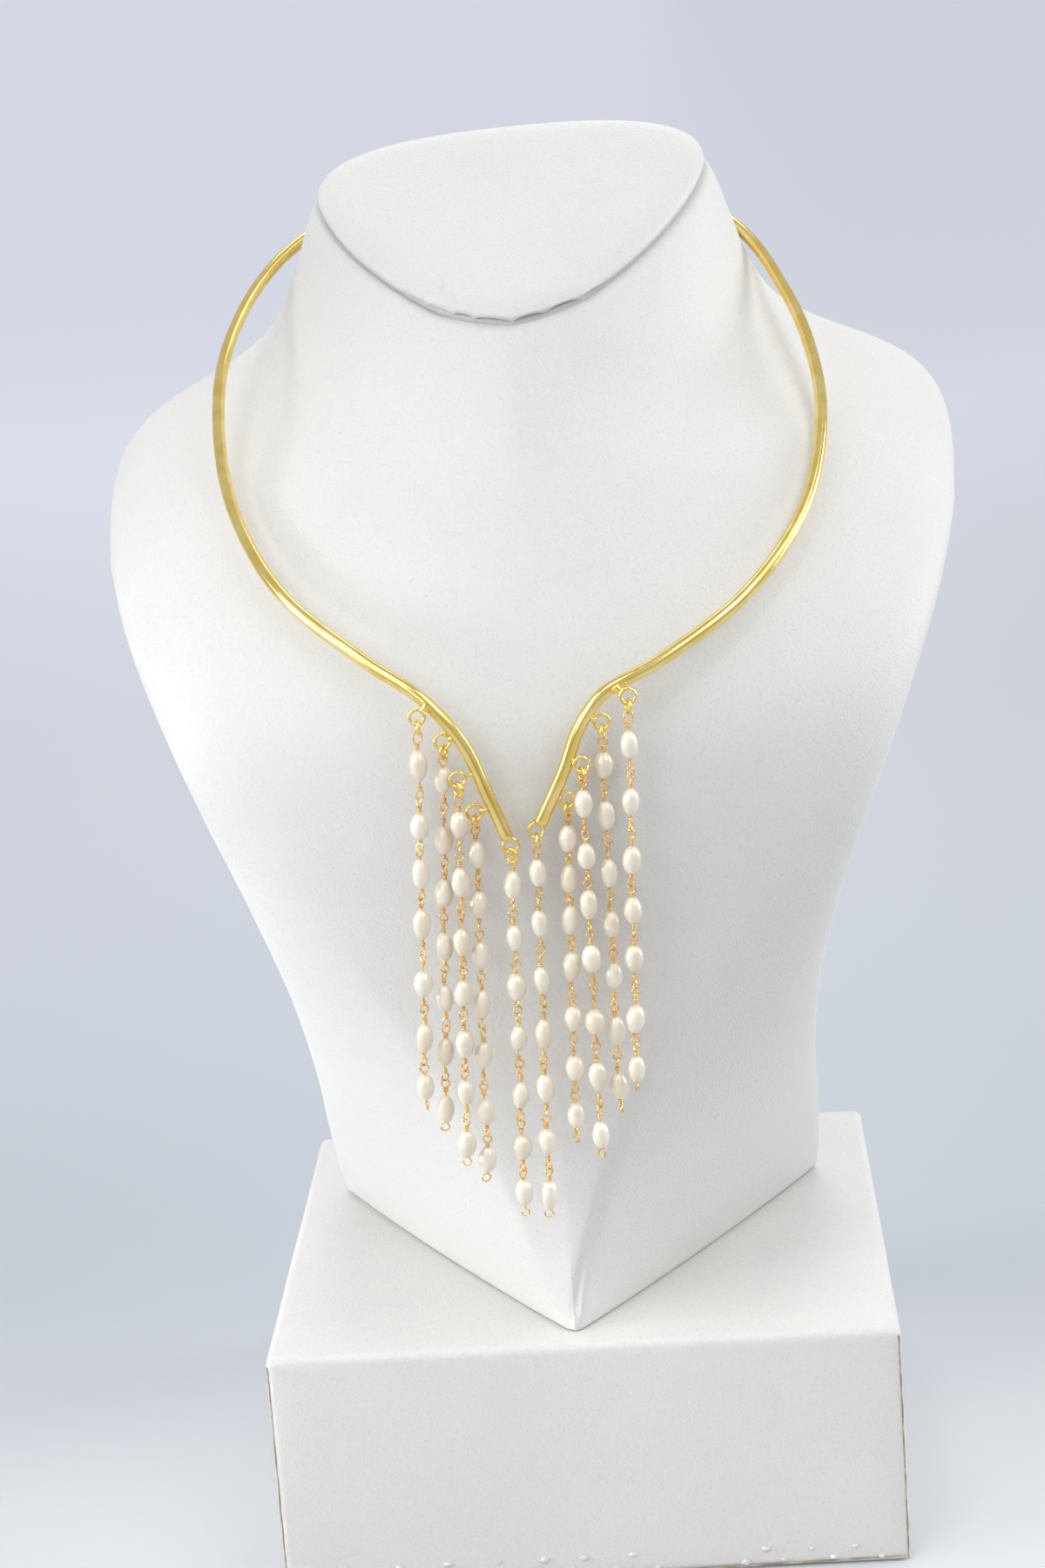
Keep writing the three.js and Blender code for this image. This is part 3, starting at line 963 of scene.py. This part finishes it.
def tailLoop(strand, last, down):  # an open loop or a twist below the last pearl
    radius = links["loopRadius"] * mm
    reach = max((strand["tail"] - pearls["halfLength"]) * mm + radius, 2 * radius)
    turn = math.radians(strand["tailTurn"])
    side = Matrix.Rotation(turn, 3, down) @ sideways
    return eyePath(last, down, side, reach, radius, strand["tailWraps"], strand["tailShare"])


def makeStrand(index, strand):
    chance = random.Random(pearls["seed"] + index)
    beads = bmesh.new()
    wires = bmesh.new()
    threaded = threadPearls(beads, strand, chance)
    paths = [hangingLoop(strand, threaded[0][0], chance)]
    for (_, above, _), (below, _, _) in zip(threaded, threaded[1:]):
        paths += linkLoops(above, below, chance)
    _, last, axis = threaded[-1]
    paths.append(tailLoop(strand, last, -axis))
    addWires(wires, paths, links["wire"] * mm, 1)
    number = f"{index + 1:02d}"
    addPiece(f"pearls_{number}", beads, pearlNacre, "pearl", f"pearl_strand_{number}")
    addPiece(f"wire_links_{number}", wires, linkGold, "link_gold")


for index, strand in enumerate(strands):
    makeStrand(index, strand)
print("strands made")


# floor with painted light and shade, and the lamps

studio = {
    "floorRadius": 300,
    "floorGrain": 0.004,
    "floorRoughness": 0.85,
    "roughnessSpread": 0.05,
    # floor colour: the paper's blue grey with painted shade, a darker band across the middle of the floor
    # between the lighter near and far parts
    "near": (0.585, 0.60, 0.62, 1),
    "middle": (0.47, 0.50, 0.545, 1),
    "far": (0.575, 0.60, 0.66, 1),
    # painted shade: the floor is darkened towards its right side
    "paintedShade": (0.36, 0.38, 0.39, 1),
    # painted light: the floor glows, brighter towards its far end, though it is no lamp
    "paintedGlow": (0.312, 0.318, 0.365, 1),
    "noPaintedGlow": (0.044, 0.045, 0.05, 1),
    "middleRange": (-0.05, 0.12),
    "farRange": (0.1, 1.2),
    "paintedShadeRange": (-0.05, 0.3),
    "paintedShadeShare": 0.35,
    "paintedGlowRange": (0.75, 1.95),
    "world": (0.97, 0.98, 1.0),
    "worldStrength": 0.6,
    "columns": ("name", "azimuth", "height", "distance", "aimY", "aimZ", "size", "spread", "power"),
    "softboxes": (
        ("left softbox", -70, 12, 1.3, 0.05, 0.2, 0.55, 180, 2.9),
        ("key softbox", -45, 32, 1.3, 0.05, 0.2, 0.75, 180, 3.6),
        ("pearl fill", -25, 12, 1.3, 0.05, 0.2, 0.35, 180, 0.6),
        ("low left grid", -78, 5, 0.9, 0, 0.11, 0.18, 28, 0.13),
        ("riser grid", -25, 62, 0.8, -0.07, 0.06, 0.25, 24, 0.03),
        ("high front right softbox", 40, 42, 1.4, 0.05, 0.2, 0.6, 180, 3.1),
        ("high right softbox", 60, 50, 1.4, 0.05, 0.2, 0.9, 180, 2.9),
        ("right softbox", 100, 14, 1.3, 0.05, 0.2, 0.6, 180, 7.3),
        ("back softbox", 180, 50, 1.4, 0.05, 0.2, 0.9, 180, 6),
    ),
}


def makeFloor(look):
    shape = bmesh.new()
    bmesh.ops.create_circle(shape, cap_ends=True, segments=96, radius=look["floorRadius"])
    mesh = bpy.data.meshes.new("floor")
    shape.to_mesh(mesh)
    shape.free()
    finish = Finish("floor_paper_painted_light_and_shade")
    place = finish.place()
    across = finish.node("ShaderNodeSeparateXYZ", None, {"Vector": place}, "X")
    depth = finish.node("ShaderNodeSeparateXYZ", None, {"Vector": place}, "Y")
    grain = finish.noise(place, look["floorGrain"])
    # the paper's colour with the painted shade band across the middle of the floor
    paperAndPaintedShade = finish.mix(finish.rise(depth, *look["middleRange"]), look["near"], look["middle"])
    paperAndPaintedShade = finish.mix(finish.rise(depth, *look["farRange"]), paperAndPaintedShade, look["far"])
    # painted shade that darkens the floor towards its right side
    paintedShadeMask = look["paintedShadeShare"] * finish.rise(across, *look["paintedShadeRange"])
    # painted light: an emission that brightens the floor towards its far end
    paintedGlow = finish.mix(finish.rise(depth, *look["paintedGlowRange"]), look["noPaintedGlow"], look["paintedGlow"])
    finish.close(
        Base_Color=finish.mix(paintedShadeMask, paperAndPaintedShade, look["paintedShade"]),
        Roughness=look["floorRoughness"] + look["roughnessSpread"] * grain,
        Specular_IOR_Level=0.1,
        Emission_Color=paintedGlow,
        Emission_Strength=1.0,
    )
    mesh.materials.append(finish.material)
    floor = bpy.data.objects.new("floor", mesh)
    scene.collection.objects.link(floor)


def addSoftbox(look, row):  # azimuth turns from the front, positive to the right
    box = dict(zip(look["columns"], row))
    azimuth, height = math.radians(box["azimuth"]), math.radians(box["height"])
    level = math.cos(height)
    away = Vector((math.sin(azimuth) * level, -math.cos(azimuth) * level, math.sin(height)))
    light = bpy.data.lights.new(box["name"], "AREA")
    light.size = box["size"]
    light.spread = math.radians(box["spread"])
    light.energy = box["power"]
    holder = bpy.data.objects.new(box["name"], light)
    holder.location = Vector((0, box["aimY"], box["aimZ"])) + away * box["distance"]
    holder.rotation_euler = (-away).to_track_quat("-Z", "Y").to_euler()
    scene.collection.objects.link(holder)


def addWorld(look):
    world = bpy.data.worlds.new("studio")
    world.use_nodes = True
    backdrop = world.node_tree.nodes["Background"]
    backdrop.inputs["Color"].default_value = (*look["world"], 1)
    backdrop.inputs["Strength"].default_value = look["worldStrength"]
    scene.world = world


makeFloor(studio)
for softbox in studio["softboxes"]:
    addSoftbox(studio, softbox)
addWorld(studio)
scene.view_settings.view_transform = "Standard"
print("studio lit")
